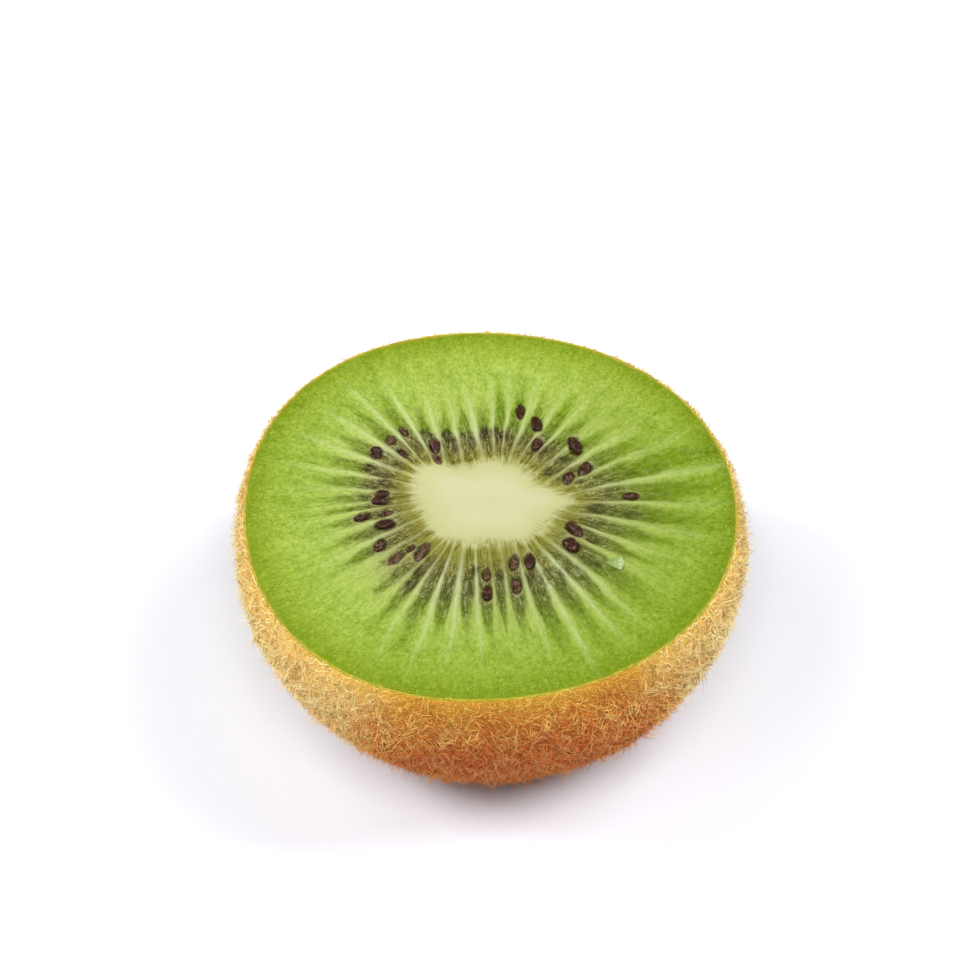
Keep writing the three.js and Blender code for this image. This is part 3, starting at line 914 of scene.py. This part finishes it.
def make_scrap(material):
    """A thin, torn wedge that widens and thickens towards its outer edge."""
    x, _, turns = lengthwise_rings(24, 36)
    taper = (0.5 + 0.5 * x) ** 0.7 * np.sqrt(1 - smoothstep(x, 0.7, 1.05))
    shape = np.stack([x, taper * np.cos(turns), taper * np.sin(turns)], -1)
    points, faces = lengthwise_solid(shape, SCRAP_SIZE)
    outer_end = points[:, 0] / SCRAP_SIZE[0] * 0.5 + 0.5
    points = points * (1 + 0.1 * waves(points, 0.6)[:, None] + 0.05 * waves(points, 0.25)[:, None])
    middle, along = seed_spot(*SCRAP_AT)
    along = turned(along, SCRAP_TURN)
    flat = points[:, :1] * along + points[:, 1:2] * turned(along, 90) + middle
    piece = make_piece("kiwi_scrap", np.column_stack([flat, points[:, 2] + DEPTH]), faces, material)
    add_attribute(piece, "outer_end", outer_end)


# ---- skin and fuzz
SKIN_COLUMNS = 640
# The cut edge of the skin, from its outer to its inner side: mm inwards, and mm below the cut.
SKIN_EDGE = [(0.02, 0.08), (0.07, 0.02), (0.15, 0.0), (0.24, 0.03), (SKIN, 0.1)]
# Hairs: length and radius in mm, segments, how steeply they leave the skin and bend, and how pale.
# The undercoat has the lowest paleness: partly a browner colour, partly painted shade under the longer
# hairs.
UNDERCOAT = dict(count=30000, length=0.75, radius=0.043, segments=1, lift=0.6, curl=0.0, pale=0.22)
DOWN = dict(count=15000, length=1.15, radius=0.045, segments=2, lift=0.65, curl=0.75, pale=0.5)
BRISTLES = dict(count=12000, length=1.5, radius=0.046, segments=3, lift=0.95, curl=0.55, pale=0.9)
HAIR_SIDES = 3
ROOT_DEPTH = 0.06  # of a hair in the skin
STRAY_SHARE = 0.08  # of the hairs that are longer and stand up
FLOOR_GAP = 0.03  # least height of a hair
skin_angles = np.arange(SKIN_COLUMNS) / SKIN_COLUMNS * TURN


def outer_skin():
    """Rings of the outer surface from just under the rim down to the foot."""
    radius, z = side_profile(62)
    rings = uneven(skin_angles, radius[:, None], z[:, None])
    outwards = rings / np.linalg.norm(rings - [0, 0, 10], axis=-1, keepdims=True)
    rough = 0.1 * waves(rings, 3.0) + 0.05 * waves(rings, 1.0)
    fade = smoothstep(rings[..., 2], 0.2, 2.0) * smoothstep(DEPTH - rings[..., 2], -0.5, 1.5)
    return rings + (rough * fade)[..., None] * outwards * [1, 1, 0]


def make_skin(material, outer):
    """The thin skin as a closed shell, with a rounded, slightly wavy cut edge."""
    circle = np.stack([np.cos(skin_angles), np.sin(skin_angles)], -1) * 26  # mm, near the rim's radius
    lip_height = 0.03 * waves(circle, 1.2)
    rim = []
    for inset, lower in SKIN_EDGE:
        ring = uneven(skin_angles, FACE_RADIUS - inset, DEPTH)
        rim.append(ring + np.stack([0 * lip_height, 0 * lip_height, lip_height - lower], -1))
    rings = np.concatenate([outer[:0:-1], np.stack(rim), inside_skin(skin_angles, 10, SKIN_FOOT)])
    points, faces = closed_rings(rings, on_axis(0.0), on_axis(SKIN_FOOT))
    piece = make_piece("kiwi_skin", points, faces, material, smooth_below=80)
    add_attribute(piece, "below_rim", DEPTH - points[:, 2])


def scatter(outer, count):
    """Random places spread evenly over the outer skin: point, normal and two directions along it."""
    a, b, c, d = outer[:-1], np.roll(outer, -1, 1)[:-1], outer[1:], np.roll(outer, -1, 1)[1:]
    across, down = b - a, c - a
    normal = np.cross(down, across)
    area = np.linalg.norm(normal, axis=-1)
    cell = rng.choice(area.size, count, p=(area / area.sum()).ravel())
    u, v = rng.random((2, count, 1))

    def pick(grid):
        return grid.reshape(-1, 3)[cell]

    point = (pick(a) * (1 - u) + pick(b) * u) * (1 - v) + (pick(c) * (1 - u) + pick(d) * u) * v
    normal = pick(normal / area[..., None])
    down = unit(pick(down))
    return point, normal, np.cross(normal, down), down


def hair_faces(count, segments, size):
    """Faces of hairs that each have this many points: four-sided along them and three at their tips."""
    base = np.arange(count)[:, None, None] * size
    corners = [(c, (c + 1) % HAIR_SIDES) for c in range(HAIR_SIDES)]
    rings = [HAIR_SIDES * k for k in range(segments)]
    quads = [[k + c, k + d, k + HAIR_SIDES + d, k + HAIR_SIDES + c] for k in rings[:-1] for c, d in corners]
    tips = [[rings[-1] + c, rings[-1] + d, rings[-1] + HAIR_SIDES] for c, d in corners]
    return [(base + np.array(kind)).reshape(-1, len(kind[0])) for kind in (quads, tips) if kind]


def make_fuzz(name, outer, material, count, length, radius, segments, lift, curl, pale):
    """Curved, tapering hairs with three sides, in tufts that lean the same way."""
    point, normal, across, down = scatter(outer, count)
    tufts = 2.5 * waves(point, 1.5) + 1.5 * waves(point, 5.0)
    heading = tufts[:, None] + rng.normal(0, 0.8, (count, 1))
    sideways = np.cos(heading) * across + np.sin(heading) * down
    heading = heading + rng.choice([-1, 1], (count, 1)) * rng.uniform(0.6, 1.8, (count, 1))
    bend = np.cos(heading) * across + np.sin(heading) * down
    stray = rng.random((count, 1)) < STRAY_SHARE
    lengths = length * rng.uniform(0.55, 1.35, (count, 1)) * (1 + 0.5 * stray)
    lift = lift * (1 + 0.8 * stray)
    lengths = lengths * (0.75 + 0.25 * smoothstep(DEPTH - point[:, 2:], 0.3, 3.0))  # shorter under the rim
    direction = unit(normal * lift * rng.uniform(0.4, 1.5, (count, 1)) + sideways + 0.25 * down)
    rings, at = [], point - ROOT_DEPTH * normal
    for k in range(segments):
        side = unit(np.cross(direction, normal + 0.3 * across))
        other = np.cross(direction, side)
        width = radius * (1 - k / (segments + 0.6)) * rng.uniform(0.8, 1.2, (count, 1))
        for corner in range(HAIR_SIDES):
            turn = corner * TURN / HAIR_SIDES
            rings.append(at + width * (math.cos(turn) * side + math.sin(turn) * other))
        at = at + lengths / segments * direction
        direction = unit(direction + curl * bend * rng.uniform(0.5, 1.3, (count, 1)) - 0.12 * normal)
    rings.append(at)
    points = np.stack(rings, 1)
    points[..., 2] = np.maximum(points[..., 2], FLOOR_GAP)
    size = points.shape[1]
    faces = hair_faces(count, segments, size)
    piece = make_piece(name, points.reshape(-1, 3), faces, material, smooth_below=0)
    add_attribute(piece, "tint", np.repeat(np.clip(rng.normal(pale, 0.36, count), 0, 1), size))
    add_attribute(piece, "ruddy", np.repeat(rng.random(count), size))


# ---- floor, light and camera
# Places are in metres and powers in watts.
FLOOR_SIZE = 6
LAMP_SIZE = 0.3
LAMP_TARGET = Vector((0, 0, 0.015))
LAMPS = [
    ("front", (0, -0.424, 0.698), 2.8), ("front_left", (-0.364, -0.364, 0.633), 1.04),
    ("left", (-0.613, 0, 0.534), 4.6), ("high_left", (-0.376, 0, 0.726), 1.15),
    ("right", (0.613, 0, 0.534), 4.1), ("high_right", (0.376, 0, 0.726), 2.3),
]
WORLD_COLOUR = (0.97, 0.96, 1.0, 1)
WORLD_STRENGTH = 0.035
FRAME_PIXELS = 960
SENSOR_WIDTH = 36  # mm
FOCAL_PIXELS = 4232.0
ELEVATION = math.radians(48.24)
DISTANCE = 0.45  # from the camera to the middle of the cut face
FACE_AT = (487.7, 509.1)  # pixel of the middle of the cut face


def add_floor():
    bpy.ops.mesh.primitive_plane_add(size=FLOOR_SIZE, location=(0, 0, 0))
    floor = bpy.context.active_object
    floor.name = "floor"
    floor.data.materials.append(floor_material())


def add_world():
    world = bpy.data.worlds.new("studio")
    world.use_nodes = True
    background = world.node_tree.nodes["Background"]
    background.inputs["Color"].default_value = WORLD_COLOUR
    background.inputs["Strength"].default_value = WORLD_STRENGTH
    bpy.context.scene.world = world


def add_lamp(name, place, power):
    """A round softbox that faces the fruit."""
    light = bpy.data.lights.new(name, "AREA")
    light.shape = "DISK"
    light.size = LAMP_SIZE
    light.energy = power
    lamp = bpy.data.objects.new(name, light)
    lamp.location = place
    lamp.rotation_mode = "QUATERNION"
    lamp.rotation_quaternion = (LAMP_TARGET - Vector(place)).to_track_quat("-Z", "Y")
    bpy.context.scene.collection.objects.link(lamp)


def add_camera():
    """A camera that looks down on the cut face and shows its middle at FACE_AT."""
    lens = bpy.data.cameras.new("camera")
    lens.sensor_width = SENSOR_WIDTH
    lens.lens = SENSOR_WIDTH * FOCAL_PIXELS / FRAME_PIXELS
    lens.clip_start = 0.01
    camera = bpy.data.objects.new("camera", lens)
    bpy.context.scene.collection.objects.link(camera)
    back = Vector((0, -math.cos(ELEVATION), math.sin(ELEVATION)))
    camera.location = Vector((*(-MIDDLE[:2] * MM), DEPTH * MM)) + back * DISTANCE
    camera.rotation_mode = "QUATERNION"
    yaw, pitch = (math.atan((pixel - FRAME_PIXELS / 2) / FOCAL_PIXELS) for pixel in FACE_AT)
    aim = (-back).to_track_quat("-Z", "Y")
    camera.rotation_quaternion = aim @ Quaternion((0, 1, 0), yaw) @ Quaternion((1, 0, 0), pitch)
    bpy.context.scene.camera = camera


# ---- build the scene
pulp = pulp_material()
make_flesh(pulp)
make_core(pulp)
make_seeds(seed_material())
make_scrap(scrap_material())
outer = outer_skin()
make_skin(skin_material(), outer)
fuzz = fuzz_material()
for letter in "ab":
    make_fuzz("kiwi_undercoat_" + letter, outer, fuzz, **UNDERCOAT)
    make_fuzz("kiwi_down_" + letter, outer, fuzz, **DOWN)
make_fuzz("kiwi_bristles", outer, fuzz, **BRISTLES)
add_floor()
add_world()
for name, place, power in LAMPS:
    add_lamp(name, place, power)
add_camera()
bpy.context.scene.view_settings.view_transform = "Standard"
